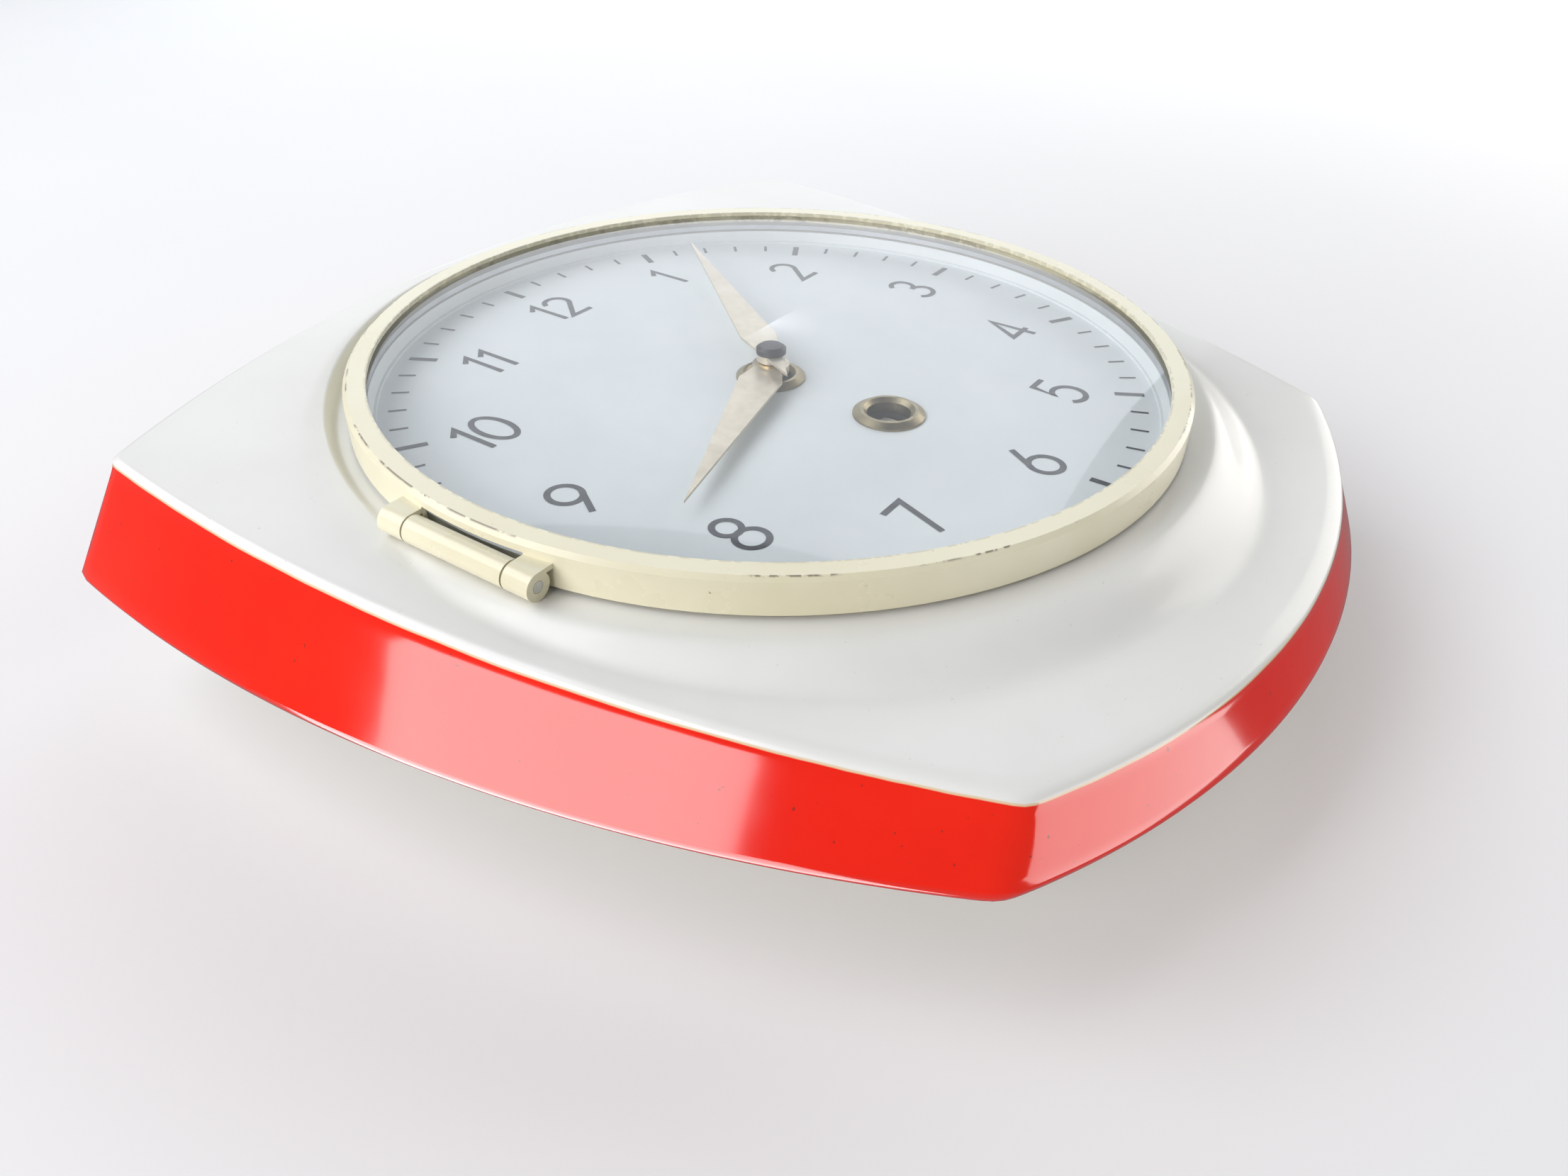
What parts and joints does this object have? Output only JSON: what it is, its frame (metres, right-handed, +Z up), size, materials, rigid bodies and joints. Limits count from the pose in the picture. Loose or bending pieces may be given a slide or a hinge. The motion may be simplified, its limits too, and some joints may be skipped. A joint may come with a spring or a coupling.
{
  "type": "wall clock",
  "caption": "Mechanical wall clock with a shield-shaped ceramic case, hinged glazed bezel, two hands, winding hole and a spring-driven movement under a dust cover.",
  "frame": {"origin": "middle of the hanging hole in the steel plate behind twelve o'clock", "axes": "+Z up towards twelve o'clock, +X towards three o'clock, the dial faces -Y and the wall is on the +Y side"},
  "size_m": [0.2008, 0.0497, 0.1937],
  "materials": {
    "ceramic_glaze": "white glaze with a red-orange band round the side",
    "lacquered_steel": "ivory stove enamel on pressed steel",
    "glass": "clear domed glass",
    "dial_enamel": "pale matt enamel with printed figures",
    "inner_enamel": "pale enamel",
    "gilt_brass": "lacquered gilt brass",
    "brass": "plain brass",
    "dark_steel": "blackened",
    "steel": "turned and ground steel",
    "zinc_steel": "zinc plated steel",
    "spring_steel": "blued spring steel",
    "card": "pressed card"
  },
  "bodies": {
    "case": {"ceramic_case": "ceramic_glaze", "hanging_plate": "zinc_steel", "hanging_screws": "zinc_steel", "hanging_nuts": "zinc_steel", "support_ring": "lacquered_steel", "hinge_pin": "steel", "case_screws": "zinc_steel", "case_washers": "zinc_steel", "case_nuts": "zinc_steel", "dial_plate": "dial_enamel", "dial_gasket": "card", "inner_ring": "inner_enamel", "centre_eyelet": "brass", "winding_eyelet": "brass", "mounting_plate": "zinc_steel", "ring_rivets": "steel", "front_plate": "brass", "back_plate": "brass", "plate_pillars": "steel", "pillar_nuts": "steel", "movement_posts": "steel", "post_nuts": "steel", "dust_cover": "zinc_steel", "cover_screws": "zinc_steel", "minute_stud": "steel", "click_screw": "steel", "click_spring": "spring_steel", "balance_front_screw": "steel", "balance_back_screw": "steel", "hairspring": "spring_steel", "hairspring_stud": "brass", "mainspring": "spring_steel"},
    "bezel": {"bezel_ring": "lacquered_steel", "dial_glass": "glass", "glass_ring": "zinc_steel"},
    "going_barrel": {"spring_barrel": "brass", "barrel_cover": "brass"},
    "winder": {"winding_arbor": "steel", "ratchet_wheel": "steel"},
    "click_arm": {"click": "steel"},
    "second_arbor": {"second_wheel": "brass"},
    "centre_arbor": {"centre_wheel": "brass", "cannon_pinion": "steel", "minute_hand": "gilt_brass", "hand_cap": "dark_steel"},
    "third_arbor": {"third_wheel": "brass"},
    "fourth_arbor": {"fourth_wheel": "brass"},
    "escape_arbor": {"escape_wheel": "brass"},
    "pallet": {"pallet_fork": "steel"},
    "balance": {"balance_wheel": "brass"},
    "regulator": {"regulator_lever": "steel"},
    "minute_gear": {"minute_wheel": "brass"},
    "hour": {"hour_wheel": "brass", "hour_hand": "gilt_brass"}
  },
  "joints": [
    {"name": "bezel_hinge", "type": "hinge", "parent": "case", "child": "bezel", "pos_m": [-0.0759, -0.0363, -0.052], "axis": [0, 0, -1], "range_deg": [0, 100]},
    {"name": "minute_turn", "type": "hinge", "parent": "case", "child": "centre_arbor", "pos_m": [0, -0.0144, -0.052], "axis": [0, 1, 0], "continuous": true},
    {"name": "hour_turn", "type": "hinge", "parent": "case", "child": "hour", "pos_m": [0, -0.0304, -0.052], "axis": [0, 1, 0], "continuous": true},
    {"name": "minute_wheel_turn", "type": "hinge", "parent": "case", "child": "minute_gear", "pos_m": [0.01039, -0.0254, -0.046], "axis": [0, 1, 0], "continuous": true},
    {"name": "second_turn", "type": "hinge", "parent": "case", "child": "second_arbor", "pos_m": [-0.0138, -0.0144, -0.05611], "axis": [0, 1, 0], "continuous": true},
    {"name": "barrel_turn", "type": "hinge", "parent": "case", "child": "going_barrel", "pos_m": [0, -0.0124, -0.0772], "axis": [0, 1, 0], "continuous": true},
    {"name": "third_turn", "type": "hinge", "parent": "case", "child": "third_arbor", "pos_m": [0.01353, -0.0144, -0.04707], "axis": [0, 1, 0], "continuous": true},
    {"name": "fourth_turn", "type": "hinge", "parent": "case", "child": "fourth_arbor", "pos_m": [0.00946, -0.0144, -0.03589], "axis": [0, 1, 0], "continuous": true},
    {"name": "escape_turn", "type": "hinge", "parent": "case", "child": "escape_arbor", "pos_m": [-0.00134, -0.0144, -0.03589], "axis": [0, 1, 0], "continuous": true},
    {"name": "winder_turn", "type": "hinge", "parent": "case", "child": "winder", "pos_m": [0, -0.0144, -0.0772], "axis": [0, 1, 0], "continuous": true},
    {"name": "click_rock", "type": "hinge", "parent": "case", "child": "click_arm", "pos_m": [0.0125, -0.0244, -0.0682], "axis": [0, 1, 0], "range_deg": [0, 12], "stiffness_Nm_per_rad": 0.0001},
    {"name": "pallet_rock", "type": "hinge", "parent": "case", "child": "pallet", "pos_m": [-0.00894, -0.0134, -0.03589], "axis": [0, 1, 0], "range_deg": [-4, 4]},
    {"name": "balance_swing", "type": "hinge", "parent": "case", "child": "balance", "pos_m": [-0.01936, -0.0144, -0.04075], "axis": [0, 1, 0], "range_deg": [-220, 220], "stiffness_Nm_per_rad": 0.000002},
    {"name": "regulator_turn", "type": "hinge", "parent": "case", "child": "regulator", "pos_m": [-0.01936, -0.0039, -0.04075], "axis": [0, 1, 0], "range_deg": [-15, 15]}
  ],
  "couplings": [
    {"joint": "second_turn", "follows": "minute_turn", "ratio": -0.2},
    {"joint": "barrel_turn", "follows": "minute_turn", "ratio": 0.033333},
    {"joint": "third_turn", "follows": "minute_turn", "ratio": -8},
    {"joint": "fourth_turn", "follows": "minute_turn", "ratio": 60},
    {"joint": "escape_turn", "follows": "minute_turn", "ratio": -480},
    {"joint": "minute_wheel_turn", "follows": "minute_turn", "ratio": -0.33333},
    {"joint": "hour_turn", "follows": "minute_turn", "ratio": 0.083333}
  ]
}
